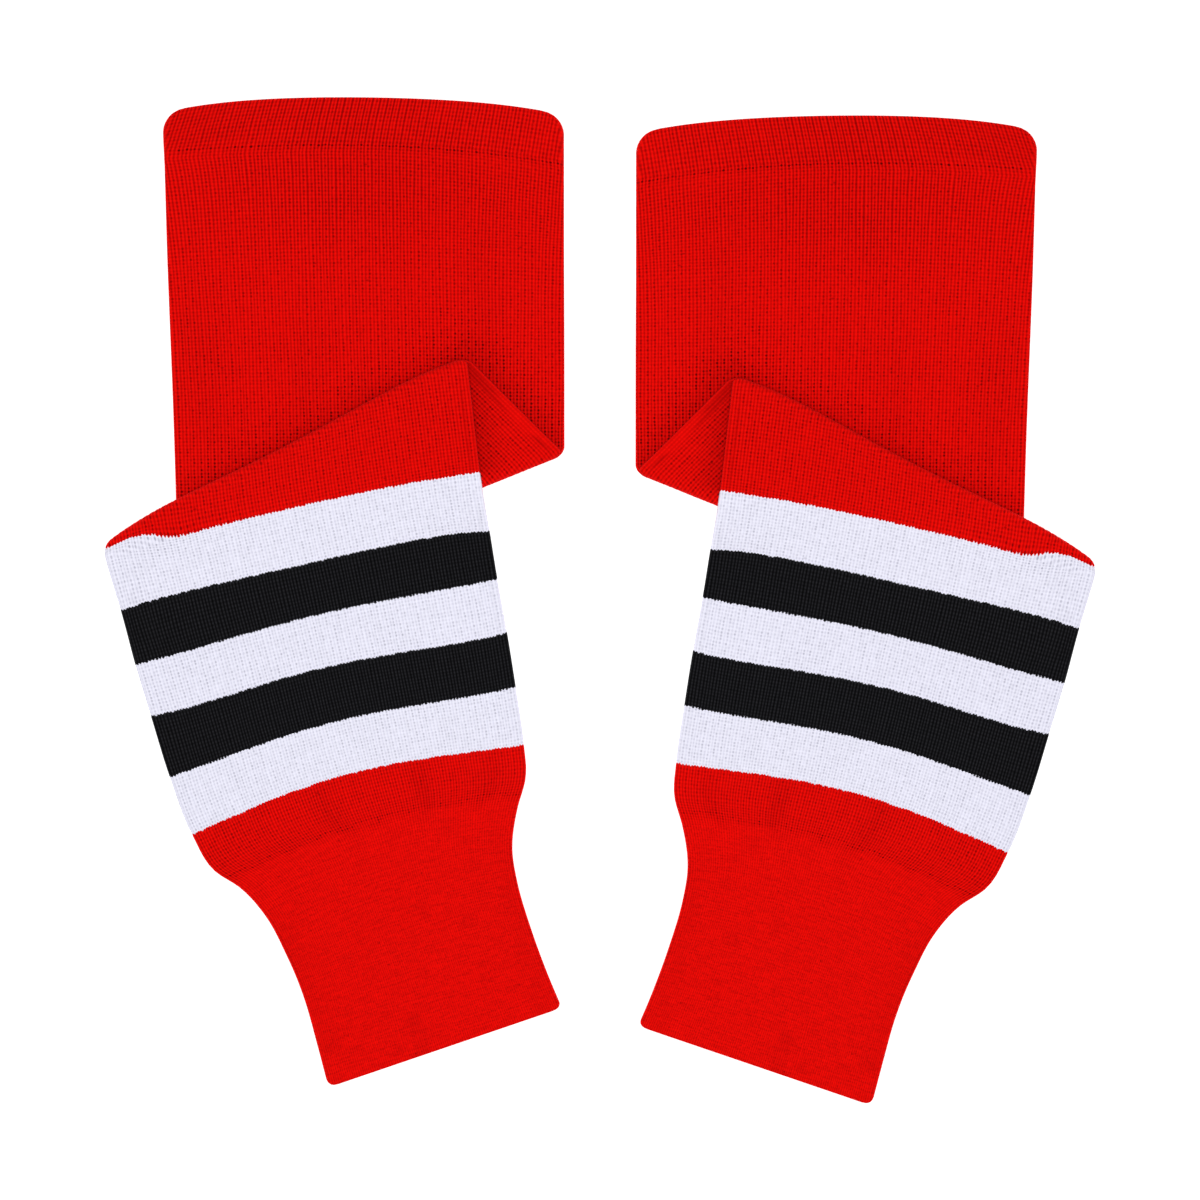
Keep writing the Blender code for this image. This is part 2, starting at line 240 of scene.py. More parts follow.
def support_heights(points, layer):
    """Height of the sheet midway between the tube's walls, for plan points on one layer."""
    thigh_side = beyond(points, np.array(THIGH[0][1:3]), BEND_1[0][0:2])
    over_thigh = 1 - ease((thigh_side - (TOP_BRIDGE if layer == 2 else BRIDGE)) / OVERHANG_RUN)
    left, right, _, _ = chord(BEND_1[0])
    past_fold = beyond(points, left, right)
    if layer == 0:
        return np.full(points.shape[:-1], HALF)
    if layer == 1:
        settle = 1 - ease((-past_fold - BEND_OUTSIDE) / SETTLE_RUN)
        return HALF + LAYER * over_thigh + (TURN - LAYER) * settle
    past_middle = beyond(points, BEND_2[0][0:2], left)
    clear = np.hypot(np.maximum(past_fold, 0), np.maximum(past_middle, 0))
    return HALF + (LAYER * over_thigh + TURN) * (1 - ease((clear - BRIDGE) / DROP_RUN))


def surface_normals(points, layer, step=0.5):
    """The upward normals of a layer, from the slopes of its heights."""
    slopes = [
        (support_heights(points + way, layer) - support_heights(points - way, layer)) / (2 * step)
        for way in (np.array([step, 0.0]), np.array([0.0, step]))
    ]
    normals = np.stack([-slopes[0], -slopes[1], np.ones_like(slopes[0])], axis=-1)
    return normals / np.linalg.norm(normals, axis=-1, keepdims=True)


print("the thigh's middle sheet is", HALF, "mm up, and each layer", round(LAYER, 2), "mm over the last")

# %% Swells and gathers
Swell = namedtuple("Swell", "across width height knit_start knit_top knit_end lean")
SWELLS = [
    Swell(0.34, 0.120, 0.9, 372, 430, 500, 0.05),
    Swell(0.74, 0.090, 0.8, 380, 470, 520, -0.06),
    Swell(0.45, 0.070, 0.8, 600, 640, 700, 0.02),
]
GATHER_HEIGHT, GATHER_START, GATHER_TOP, GATHER_END = 2.3, 528, 565, 606
Trough = namedtuple("Trough", "across width depth lean")
TROUGHS = [
    Trough(0.07, 0.045, 0.8, 0.02),
    Trough(0.395, 0.030, 0.9, 0.01),
    Trough(0.690, 0.024, 1.0, 0.004),
    Trough(0.905, 0.020, 0.9, -0.012),
]


def pleat_heights(u, knit):
    """How far swells and gathers lift the striped part and the rib."""
    lift = np.zeros_like(u)
    for s in SWELLS:
        envelope = ease((knit - s.knit_start) / (s.knit_top - s.knit_start))
        envelope *= ease((s.knit_end - knit) / (s.knit_end - s.knit_top))
        middle = s.across + s.lean * (knit - s.knit_top) / 40
        lift += s.height * envelope * np.exp(-(((u - middle) / s.width) ** 2))
    gathered = ease((knit - GATHER_START) / (GATHER_TOP - GATHER_START))
    gathered *= ease((GATHER_END - knit) / (GATHER_END - GATHER_TOP))
    gathered *= ease(u / 0.08) * ease((1 - u) / 0.05)
    for t in TROUGHS:
        middle = t.across + t.lean * (knit - GATHER_TOP) / 20
        gathered *= 1 - t.depth * np.exp(-(((u - middle) / t.width) ** 2))
    return lift + GATHER_HEIGHT * gathered


print("gathers at the ankle:", len(TROUGHS) + 1, "and swells:", len(SWELLS))

# %% [markdown]
# ## Rib knit
#
# In a rib knit, columns of stitches stand up with narrow valleys between them. Here 56 ribs cross
# each wall, 4.4 mm apart at the thigh and squeezed to 2.7 mm at the ankle. Each rib is two legs of
# yarn with a row of small holes between them. The valleys and the holes' ladders are real shape,
# cut into the outside: the mesh has four columns of points for each rib. The single stitches
# are too many for that, and are drawn by the material.

# %% The columns of points, rib by rib
RIBS = 56
RIB_PHASES = (0.0, 0.22, 0.5, 0.78)
GROOVE_DEPTH, LADDER_DEPTH = 0.50, 0.16
RIB_SHALLOWER, RIB_LADDER = 0.45, 0.10  # the share that the ankle's rib loses, its ladders' gain
GROOVE_WIDTH = 0.15  # ribs
EDGE_TURN = np.radians((45, 90, 135))  # points round the tube's flat edge, one rib wide
across_ribs = np.append((np.arange(RIBS)[:, None] + RIB_PHASES).ravel(), RIBS)
around_ribs = np.concatenate(
    [
        across_ribs,
        RIBS + EDGE_TURN / math.pi,
        2 * RIBS + 1 - across_ribs[::-1],
        2 * RIBS + 1 + EDGE_TURN / math.pi,
    ]
)
RIBS_ROUND = 2 * RIBS + 2
print("ribs round the tube:", RIBS_ROUND, "and columns of points:", len(around_ribs))

# %% [markdown]
# The wales don't run quite straight. In the welt they lean, because the turned-in knit is linked down
# askew, and below it they fan out to the tube's edges for the width of a hand. Where the welt is linked
# down, a soft furrow runs across. Thin creases mark the rolled edges of the folded layers, and broad ones,
# a tenth of a millimetre deep, are where the cloth lies uneven. Every crease also darkens the colour with
# painted shade, the deeper the darker, so the broad ones show mostly as painted shade. Two more, which are
# guessed, are on the underside. In the ankle's rib the valleys are half as deep and the ladders a little
# deeper, so it looks like a rib of half the spacing.
#
# A point's place round the tube is counted in ribs: 0 to 56 on the front wall from left to right,
# one rib round the edge, 57 to 113 on the back wall from right to left, and one rib round again.

# %% How the wales drift
WELT_LEANS = 17.0, 11.0  # degrees, at the tube's left and right edge
WELT_END, SEAM_END = 27.0, 37.0  # mm from the mouth
FAN_LEFT, FAN_RIGHT = 2.4, 1.2  # ribs, at the tube's edges
FAN_WIDTH, FAN_RUN = 30.0, 55.0  # ribs across, and mm along the tube
RIB_PITCH, ANKLE_PITCH = 4.4, 2.7
RIB_START = 588.0  # mm from the mouth
TIGHTEN_BEFORE, TIGHTEN_RUN = 14, 22  # mm
SEAM_FURROWS = ((WELT_END, 1.5, 0.15), (SEAM_END, 2.0, 0.08))  # where, how wide and how deep


def drift(ribs, knit):
    """How far the pattern of the knit is moved from the columns of points, in ribs."""
    from_left = np.minimum(ribs, RIBS_ROUND - ribs)
    from_right = np.abs(ribs - RIBS - 0.5)
    near_left = np.maximum(1 - from_left / FAN_WIDTH, 0)
    near_right = np.maximum(1 - from_right / FAN_WIDTH, 0)
    fan = FAN_LEFT * near_left**2 - FAN_RIGHT * near_right**2
    fan = fan * np.exp(-np.maximum(knit - WELT_END, 0) / FAN_RUN)
    lean = WELT_LEANS[0] + (WELT_LEANS[1] - WELT_LEANS[0]) * np.minimum(from_left / RIBS, 1)
    in_welt = np.maximum(WELT_END + 1 - knit, 0)
    return fan - np.tan(np.radians(lean)) * in_welt / RIB_PITCH


print("the welt's wales lean over by", round(-float(drift(28.0, 0.0)), 1), "ribs")

# %% How far a point lies under the crests of the knit
Crease = namedtuple("Crease", "knit_a ribs_a knit_b ribs_b width depth")
BACK = 2 * RIBS + 1  # a place on the back wall, seen from above, is this less its ribs
CREASE_PITCH = 4.2  # mm for each rib, about the tube's average
CREASES = [
    # along the rolled edges of the middle layer and the calf
    Crease(300.0, BACK - 55.70, 262.0, BACK - 55.55, 0.8, 0.8),
    Crease(296.0, BACK - 55.00, 250.0, BACK - 54.75, 1.0, 0.6),
    Crease(236.0, BACK - 55.00, 219.0, BACK - 55.10, 0.9, 0.7),
    Crease(306.0, 55.00, 372.0, 55.25, 0.9, 0.3),
    Crease(360.0, 55.25, 545.0, 55.30, 1.0, 0.12),
    # between the gathers above the ankle's rib, and in the rib
    Crease(543.0, 21.90, 586.0, 22.30, 7.0, 0.15),
    Crease(543.0, 38.20, 588.0, 39.00, 5.5, 0.20),
    Crease(543.0, 50.60, 586.0, 50.30, 6.0, 0.13),
    Crease(690.0, 23.00, 730.0, 23.20, 8.0, 0.15),
    # two broad ones along the rib's edges mostly darken them with painted shade
    Crease(590.0, 1.00, 725.0, 1.00, 16.0, 0.10),
    Crease(590.0, 55.00, 725.0, 55.00, 14.0, 0.09),
    # on the underside of the calf
    Crease(400.0, BACK - 3.0, 540.0, BACK - 2.2, 1.8, 0.4),
    Crease(470.0, BACK - 30.0, 560.0, BACK - 26.0, 3.0, 0.3),
    # where the thigh and the welt lie uneven, shown mostly by their painted shade
    Crease(60.0, 44.0, 205.0, 46.0, 9.0, 0.09),
    Crease(120.0, 20.0, 215.0, 17.0, 10.0, 0.06),
    Crease(105.0, 3.5, 225.0, 4.5, 14.0, 0.08),
    Crease(-6.0, 4.0, 30.0, 4.0, 26.0, 0.10),
]


def crease_depths(ribs, knit):
    """How deep the creases are at places of the knit."""
    depth = np.zeros(np.broadcast(ribs, knit).shape)
    for c in CREASES:
        part = (knit - c.knit_a) / (c.knit_b - c.knit_a)
        aside = (ribs - c.ribs_a - (c.ribs_b - c.ribs_a) * part) * CREASE_PITCH
        inside = ease(4 * part) * ease(4 * (1 - part))
        depth += c.depth * inside * np.exp(-((aside / c.width) ** 2))
    return depth


def seam_share(knit):
    """1 in the band where the welt is linked down, 0 away from it."""
    return ease((knit - WELT_END + 3) / 4) * ease((SEAM_END + 2 - knit) / 4)


def knit_depth(ribs, knit):
    """How far the outside lies under the crests."""
    drifted = drift(ribs, knit)
    phase = (ribs + drifted) % 1
    valley = np.exp(-((np.minimum(phase, 1 - phase) / GROOVE_WIDTH) ** 2))
    ladder = np.exp(-(((phase - 0.5) / GROOVE_WIDTH) ** 2))
    tight = ease((knit - RIB_START + TIGHTEN_BEFORE) / TIGHTEN_RUN)
    depth = (GROOVE_DEPTH * valley + LADDER_DEPTH * ladder) * (1 - RIB_SHALLOWER * tight)
    depth += RIB_LADDER * tight * ladder
    depth *= 1 - 0.9 * ease(3 * np.abs(drifted))  # the columns of points don't drift along
    from_edge = np.abs((ribs - RIBS) % BACK - 0.5)  # in ribs, to the middle of the nearer edge
    depth *= ease((np.minimum(from_edge, BACK - from_edge) - 0.4) / 1.6)
    for where, wide, deep in SEAM_FURROWS:
        depth += deep * np.exp(-(((knit - where) / wide) ** 2))
    return depth + crease_depths(ribs, knit)


print("deepest valley, mm:", round(float(knit_depth(np.array([10.0]), np.array([200.0]))[0]), 2))

# %% [markdown]
# ## Rings of points
#
# Each row of the flat tube becomes one closed ring: along the front wall, round the edge, back
# along the back wall and round the other edge. The outside rings run from the mouth to the ankle.
# At both ends they turn in round a small rim and come back inside as a plain surface with a
# quarter of the points, because nobody sees a tube's inside through a slit.

# %% The middle sheet on one line
Line = namedtuple("Line", "plan knit ribs layer angle out wall")


def sheet(line, u):
    """The middle sheet's points on one line, and its normals on the side of the front wall."""
    if line.angle is None:
        height = support_heights(line.plan, line.layer)
        normal = surface_normals(line.plan, line.layer)
    else:
        axis = line.plan - line.out * BEND_RADIUS * math.sin(line.angle)
        share = (1 - math.cos(line.angle)) / 2
        height = support_heights(axis, line.layer) * (1 - share)
        height = height + support_heights(axis, line.layer + 1) * share
        up = surface_normals(line.plan, line.layer)
        out = np.append(line.out, 0.0)
        out = out - up * (up @ out)[:, None]
        out /= np.linalg.norm(out, axis=1, keepdims=True)
        normal = up * math.cos(line.angle) - out * math.sin(line.angle)
    if line.layer == 1:
        normal = -normal
    height = height + (line.wall - BODY_WALL) + pleat_heights(u, line.knit)
    return np.column_stack([line.plan, height]), normal


print("a line across the tube knows its", ", ".join(Line._fields))

# %% One ring
def round_tube(front, back, right_edge, left_edge):
    """Values on the two walls and at the two edges, in a ring's order."""
    return np.concatenate([front, right_edge + np.zeros(3), back[::-1], left_edge + np.zeros(3)])


def ribs_round(line):
    """Each point's place round the tube, in ribs. The edges take up what a corner cuts away."""
    turn = EDGE_TURN / math.pi
    right = line.ribs[-1] + (BACK - 2 * line.ribs[-1]) * turn
    left = BACK - line.ribs[0] + (1 + 2 * line.ribs[0]) * turn
    return round_tube(line.ribs, BACK - line.ribs, right, left)


def ring(line, u, offset, dented):
    """One closed loop round the flat tube, at an offset from its middle sheet."""
    points, normals = sheet(line, u)
    front_depths = knit_depth(line.ribs, line.knit) * dented
    back_depths = knit_depth(BACK - line.ribs, line.knit) * dented
    front = points + normals * (offset - front_depths)[:, None]
    back = points - normals * (offset - back_depths)[:, None]
    arcs = []
    for end, inner, sign in ((-1, -2, 1), (0, 1, -1)):
        first_rib = RIBS if end == -1 else RIBS + BACK
        edge_depths = knit_depth(first_rib + EDGE_TURN / math.pi, line.knit[end]) * dented
        edge = points[end] - points[inner]
        edge -= normals[end] * (normals[end] @ edge)
        edge /= np.linalg.norm(edge)
        turned = sign * np.outer(np.cos(EDGE_TURN), normals[end]) + np.outer(np.sin(EDGE_TURN), edge)
        arcs.append(points[end] + (offset - edge_depths)[:, None] * turned)
    loop = np.vstack([front, arcs[0], back[::-1], arcs[1]])
    if line.layer != 1:
        loop[:, 2] = np.maximum(loop[:, 2], 0.0)
    return loop, round_tube(line.knit, line.knit, line.knit[-1], line.knit[0])


print("points in a ring:", len(around_ribs), "outside and", 2 * (RIBS + 1) + 2 * len(EDGE_TURN), "inside")

# %% [markdown]
# The tube's corners are rounded, at the mouth and ankle by the knitting and at the folds by the
# cloth's own stiffness.

# %% Rounded corners
MOUTH_CORNER, BEND_CORNER, CUFF_CORNER = 12.0, 5.0, 5.0
LAST_PART, LAST_RUN = 0.6, 14  # from the last row but one to the ankle's corners: a share, and mm


def end_row(rows, distance, at_mouth):
    """The row that lies a distance inside the tube's end."""
    index = 0 if at_mouth else len(rows) - 2
    a, b = numbers(rows[index]), numbers(rows[index + 1])
    length = np.linalg.norm((a[0:2] + a[2:4] - b[0:2] - b[2:4]) / 2)
    return between(rows, index, distance / length if at_mouth else 1 - distance / length)


def corner_insets(radius, start, steps):
    """Distances from the tube's end and how far a rounded corner draws the outline in there."""
    first = math.acos(1 - start / radius)
    for k in range(steps + 1):
        angle = first + (math.pi / 2 - first) * k / steps
        yield radius * (1 - math.cos(angle)), radius * (1 - math.sin(angle))


print("the mouth's corners draw in by, mm:", [round(i, 1) for _, i in corner_insets(MOUTH_CORNER, 1, 5)])

# %% The panels and their rows
def panels():
    """The three panels' rows, each ending at the lines where the folds begin and end."""
    starts = [Row("out of a fold", *bend_row(bend, math.pi)) for bend in (BEND_1, BEND_2)]
    ends = [Row("into a fold", *bend_row(bend, 0.0)) for bend in (BEND_1, BEND_2)]
    return THIGH + [ends[0]], [starts[0], ends[1]], [starts[1]] + CALF


def rows_between(rows, first, last, spacing):
    """Interpolated rows from one row up to another, about a spacing apart."""
    for i in range(first, last):
        knit = np.mean(numbers(rows[i + 1])[KNIT] - numbers(rows[i])[KNIT])
        steps = max(1, round(knit / spacing))
        for k in range(steps):
            yield between(rows, i, k / steps)


def ribs_kept(values, u, inset):
    """The ribs that a rounded corner leaves: it cuts the wales off and doesn't squeeze them."""
    cut = inset / np.linalg.norm(values[2:4] - values[0:2])
    return RIBS * (cut + (1 - 2 * cut) * u)


print("rows of the thigh, the middle and the calf:", [len(rows) for rows in panels()])

# %% All lines from the mouth to the ankle
def lines(u, spacing, bend_steps, corner_steps):
    """Every line across the tube, from the mouth to the ankle."""
    thigh, middle, calf = panels()
    made = []

    def lay(values, layer, angle=None, out=np.zeros(2), inset=0.0):
        plan, knit = plan_line(values, u, values[WALL] + TUBE_GAP / 2 + inset)
        made.append(Line(plan, knit, ribs_kept(values, u, inset), layer, angle, out, values[WALL]))

    for distance, inset in corner_insets(MOUTH_CORNER, WELT_WALL / 2, corner_steps):
        lay(end_row(thigh, distance, True), 0, inset=inset)
    for values in rows_between(thigh, 1, len(thigh) - 1, spacing):
        lay(values, 0)
    for bend, layer in ((BEND_1, 0), (BEND_2, 1)):
        for angle in np.linspace(0, math.pi, bend_steps + 1):
            lay(bend_row(bend, angle), layer, angle, bend[1], BEND_CORNER * (1 - abs(math.cos(angle))))
        if layer == 0:
            for values in list(rows_between(middle, 0, 1, spacing))[1:]:
                lay(values, 1)
    for values in list(rows_between(calf, 0, len(calf) - 2, spacing))[1:]:
        lay(values, 2)
    for part in np.linspace(0, LAST_PART, max(2, round(LAST_RUN / spacing))):
        lay(between(calf, len(calf) - 2, part), 2)
    for distance, inset in reversed(list(corner_insets(CUFF_CORNER, CUFF_WALL / 2, corner_steps))):
        lay(end_row(calf, distance, False), 2, inset=inset)
    return made


u_fine = across_ribs / RIBS
u_plain = np.arange(RIBS + 1) / RIBS
fine = lines(u_fine, spacing=4.8, bend_steps=10, corner_steps=5)
plain = lines(u_plain, spacing=8.0, bend_steps=6, corner_steps=3)
print("outside lines:", len(fine), "and inside lines:", len(plain))

# %% The rims at the mouth and the ankle
def rim(u, at_mouth, turns):
    """The lines of the rounded rim: the sheet goes on past its last ring as the cloth turns in."""
    thigh, _, calf = panels()
    rows, wall, corner = (thigh, WELT_WALL, MOUTH_CORNER) if at_mouth else (calf, CUFF_WALL, CUFF_CORNER)
    for turn in np.radians(turns):
        distance = wall / 2 * (1 - math.sin(turn))
        _, inset = next(corner_insets(corner, distance, 1))
        values = end_row(rows, distance, at_mouth)
        plan, knit = plan_line(values, u, wall + TUBE_GAP / 2 + inset)
        offset = TUBE_GAP / 2 + wall / 2 * (1 + math.cos(turn))
        ribs = ribs_kept(values, u, inset)
        yield Line(plan, knit, ribs, 0 if at_mouth else 2, None, np.zeros(2), wall), offset


print("the rims' radius, mm:", WELT_WALL / 2, "at the mouth and", CUFF_WALL / 2, "at the ankle")

# %% [markdown]
# ## From rings to a mesh
#
# The rings are joined one to the next and the last to the first, so each sock is one closed skin of cloth
# with an open tube inside it. A mesh made from arrays is quicker here than one made face by face. With its
# points go the place in the knit, counted in ribs and in courses, as a UV map that the stitches are drawn
# on, and five facts: how open the holes are, how dark the valleys' painted shade is, how smooth the knit
# is pulled, how much painted shade a layer's edge lays on it, and how deep a crease is, which also sets
# its painted shade.
# A second UV map spreads the whole skin over a square, the inside beside the outside, for anyone
# who wants to paint or bake it.

# %% What each point knows
COURSE = 2.2  # mm from one row of stitches to the next
LINKED_COURSE = 12  # the row in which the welt is linked down
RIB_KNIT = 582  # mm from the mouth to the tighter rib
RIB_COURSE = (RIB_KNIT + 3) / COURSE  # 3 mm further, because the ragged start comes before it
OPEN_HOLES, PLAIN_FURROW = 0.52, 0.34  # where nothing pulls the knit


def from_segment(points, start, end):
    """Distances of points from a straight piece of line."""
    along = end - start
    part = np.clip((points - start) @ along / (along @ along), 0, 1)
    return np.linalg.norm(points - start - part[:, None] * along, axis=1)


# Each of the four facts takes a line and its wall, front or back, whether it differs there or not.
def painted_edge_shade(line, wall, reach=12.0):
    """How much painted shade a layer's edge that lies on the cloth lays on it, 1 at the most."""
    fold_right = np.array(UPPER_FOLD[3:5])
    if (line.layer, wall) == (0, "front"):
        near = from_segment(line.plan, np.array(UPPER_FOLD[1:3]), fold_right)
        beside = from_segment(line.plan, fold_right, np.array(LOWER_FOLD[3:5]))
        return np.maximum(0.62 * np.exp(-((near / reach) ** 2)), 0.7 * np.exp(-((beside / reach) ** 2)))
    if (line.layer, wall) == (1, "back"):
        return 0.8 * np.exp(-((from_segment(line.plan, np.array(CALF[1][3:5]), fold_right) / reach) ** 2))
    return np.zeros(len(line.plan))


def hole_gape_and_painted_shade(line, wall):
    """How open the holes are, and so how much painted shade darkens them: less above the rib, and most
    beside a layer's edge, where the extra is painted shade.
    """
    knit = line.knit
    above_rib = ease((knit - 540) / 12) * (0.18 * (1 - line.ribs / RIBS) - 0.14)
    in_welt = 1 - ease((knit - WELT_END + 6) / 4)
    # Beside a layer's edge the holes are darkened more: painted shade from the edge.
    painted_shade_beside_layer = (0.85 if line.layer == 0 else 0.3) * painted_edge_shade(line, wall, reach=20.0)
    tip = np.exp(-(((line.ribs - 7) / 6) ** 2) - ((knit - 374) / 12) ** 2)
    return np.clip(OPEN_HOLES + painted_shade_beside_layer + above_rib - 0.1 * in_welt + 0.25 * tip, 0, 1.4)


def furrow(line, wall):
    """How dark the valleys' painted shade is: most where the welt and the ankle's rib draw the knit in."""
    knit = line.knit
    in_welt = 1 - ease((knit - WELT_END + 3) / 4)
    below_seam = ease((knit - WELT_END - 1) / 5) * (1 - ease((knit - 50) / 60))
    above_rib = ease((knit - 540) / 12)
    pull = np.exp(-(((line.ribs - 27) / 18) ** 2))
    at_rib = 0.12 * (1 - line.ribs / RIBS)
    drawn_in = in_welt * (0.40 + 0.46 * pull) + below_seam * (0.32 + 0.35 * pull) + above_rib * at_rib
    return PLAIN_FURROW + drawn_in


def smoothness(line, wall):
    """How smooth the knit is pulled: round a fold, at the welt's seam and at rolled edges."""
    turned = 0.0 if line.angle is None else 0.6 * math.sin(line.angle) ** 2
    smooth = np.maximum(turned, 0.12 * seam_share(line.knit))
    if (line.layer, wall) == (1, "back"):
        rolled = ease((u_fine * RIBS - RIBS + 2.2) / 1.2)
        smooth = np.maximum(smooth, 0.9 * rolled)
    return smooth


print("courses in the tube:", round(KNIT_LENGTH / COURSE), "and the rib starts at", round(RIB_COURSE))

# %% The rings of the whole cloth
plain_across = np.arange(RIBS + 1)
plain_round = np.concatenate(
    [plain_across, RIBS + EDGE_TURN / math.pi, RIBS + 1 + plain_across, 2 * RIBS + 1 + EDGE_TURN / math.pi]
)


def skin():
    """The rings of the whole cloth with each point's facts, and how many are fine ones."""
    outside = list(rim(u_fine, True, (90, 45)))
    outside += [(line, line.wall + TUBE_GAP / 2) for line in fine]
    outside += list(rim(u_fine, False, (45, 90)))
    inside = list(rim(u_plain, False, (135,)))
    inside += [(line, TUBE_GAP / 2) for line in reversed(plain)]
    inside += list(rim(u_plain, True, (135,)))
    rings, facts = [], []
    for i, (line, offset) in enumerate(outside):
        loop, knit = ring(line, u_fine, offset, dented=float(1 < i < len(outside) - 2))
        by_wall = [
            round_tube(fact(line, "front"), fact(line, "back"), edge, edge)
            for fact, edge in ((hole_gape_and_painted_shade, 0.3), (furrow, 0.3), (smoothness, 0.5), (painted_edge_shade, 0.0))
        ]
        ribs = ribs_round(line)
        rings.append(loop)
        facts.append(np.column_stack([around_ribs, ribs, knit, *by_wall, crease_depths(ribs, knit)]))
    for line, offset in inside:
        loop, knit = ring(line, u_plain, offset, dented=0.0)
        rings.append(loop)
        facts.append(np.column_stack([plain_round, ribs_round(line), knit] + [0 * knit] * 5))
    return rings, facts, len(outside)


rings, facts, fine_count = skin()
print("rings:", len(rings), "of them fine:", fine_count)

# %% Faces between the rings
def band(first, after, count):
    """Quads between two rings of as many points, from where each begins."""
    k = np.arange(count)
    step = (k + 1) % count
    return np.column_stack([first + k, first + step, after + step, after + k])


def zipped(fine_start, plain_start):
    """Triangles between a fine ring and a plain one."""
    near = np.abs(plain_round[None, :] - around_ribs[:, None]).argmin(axis=1)
    made = []
    for k in range(len(around_ribs)):
        after = (k + 1) % len(around_ribs)
        made.append((fine_start + k, fine_start + after, plain_start + near[k]))
        if near[after] != near[k]:
            made.append((fine_start + after, plain_start + near[after], plain_start + near[k]))
    return np.array(made)


starts = np.concatenate([[0], np.cumsum([len(loop) for loop in rings])[:-1]])
sizes = [len(loop) for loop in rings]
outside_quads = np.concatenate(
    [band(starts[i], starts[i + 1], sizes[i]) for i in range(fine_count - 1)]
)
inside_quads = np.concatenate(
    [band(starts[i], starts[i + 1], sizes[i]) for i in range(fine_count, len(rings) - 1)]
)
zips = np.concatenate(
    [zipped(starts[fine_count - 1], starts[fine_count]), zipped(0, starts[-1])[:, ::-1]]
)
triangle_count = 2 * (len(outside_quads) + len(inside_quads)) + len(zips)
print("triangles in one sock:", triangle_count)

# %% Make a sock from the arrays
points = np.concatenate(rings)
fact_table = np.concatenate(facts)
middle_y = (points[:, 1].max() + points[:, 1].min()) / 2
RIGHT_SOCK_LOWER = 11.3  # mm, as the pair lies in the photo


def loop_uvs(faces, bake_left, bake_width):
    """The knit's map and the map without overlap, for the corners of faces."""
    around, ribs, knit = (fact_table[faces, column] for column in range(3))
    closing = (around == 0) & (around.max(axis=1, keepdims=True) > RIBS + 1)
    around, ribs = around + RIBS_ROUND * closing, ribs + RIBS_ROUND * closing
    stitches = np.stack([ribs + drift(ribs, knit), knit / COURSE], axis=-1)
    spread = [bake_left + bake_width * around / RIBS_ROUND, 0.004 + 0.992 * knit / KNIT_LENGTH]
    return stitches.reshape(-1, 2), np.stack(spread, axis=-1).reshape(-1, 2)


def make_sock(name, side, lower):
    placed = points * MM
    placed[:, 0] *= side
    placed[:, 1] -= (middle_y - RIGHT_SOCK_LOWER / 2 + lower) * MM
    groups = [(outside_quads, 0.004, 0.69), (inside_quads, 0.71, 0.28), (zips, 0.71, 0.28)]
    maps = [loop_uvs(*group) for group in groups]
    faces = [tuple(face) for group, _, _ in groups for face in group.tolist()]
    mesh = bpy.data.meshes.new(name)
    mesh.from_pydata(placed.tolist(), [], faces)
    for layer, place in (("knit", 0), ("OFBake", 1)):
        uv = mesh.uv_layers.new(name=layer)
        uv.data.foreach_set("uv", np.concatenate([m[place] for m in maps]).astype(np.float32).ravel())
    for column, label in enumerate(("hole_gape_and_painted_shade", "furrow", "smooth", "painted_edge_shade", "crease"), start=3):
        attribute = mesh.attributes.new(label, "FLOAT", "POINT")
        attribute.data.foreach_set("value", fact_table[:, column].astype(np.float32))
    if side > 0:
        mesh.flip_normals()
    mesh.polygons.foreach_set("use_smooth", np.ones(len(mesh.polygons), dtype=bool))
    mesh.update()
    sock = bpy.data.objects.new(name, mesh)
    bpy.context.scene.collection.objects.link(sock)
    return sock


left_sock = make_sock("left_sock_knit", 1, 0.0)
right_sock = make_sock("right_sock_knit", -1, RIGHT_SOCK_LOWER)
for sock, node in ((left_sock, "left_sock"), (right_sock, "right_sock")):
    low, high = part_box(node)
    own = np.array([v.co for v in sock.data.vertices])
    off = np.round(np.concatenate([own.min(0) - low, own.max(0) - high]) / MM, 2)
    print(node, "off its solid's box, mm:", off.tolist())

# %% [markdown]
# ## Rib-knit polyester
#
# The yarn is textured polyester, dyed in the mass, so the red is deep and even and nearly without
# gloss: light that falls on it is scattered by thousands of fine filaments. What the eye reads is
# the knit. Between two ribs runs a dark valley, each rib has bright legs of yarn, and between the
# legs sits one small dark hole for each course. The whole pattern could be modelled loop by loop,
# which takes millions of faces, or projected from a photo, which a reusable part shouldn't need.
# Here it is drawn by nodes on the knit's own map, where one unit is one rib across and one course up, so
# it follows every fold and squeezes with the tube at the ankle. On top of the relief, the light on the
# legs and the shade in the valleys and holes are painted into its colour.

# %% Colours and one node function
def linear(hex_colour):
    """An sRGB hex value as the linear colour that shaders take."""
    channels = [int(hex_colour[i : i + 2], 16) / 255 for i in (1, 3, 5)]
    return [c / 12.92 if c <= 0.04045 else ((c + 0.055) / 1.055) ** 2.4 for c in channels] + [1.0]


rib_knit = bpy.data.materials.new("rib_knit_polyester")
rib_knit.use_nodes = True
knit_tree = rib_knit.node_tree
knit_tree.nodes.clear()


def add(kind, inputs=(), **settings):
    """Adds a node. An input is a value, a socket, or a node whose first output it takes."""
    made = knit_tree.nodes.new("ShaderNode" + kind)
    for setting, value in settings.items():
        setattr(made, setting, value)
    for place, value in inputs.items() if isinstance(inputs, dict) else enumerate(inputs):
        source = value.outputs[0] if isinstance(value, bpy.types.Node) else value
        if isinstance(source, bpy.types.NodeSocket):
            knit_tree.links.new(source, made.inputs[place])
        else:
            made.inputs[place].default_value = source
    return made


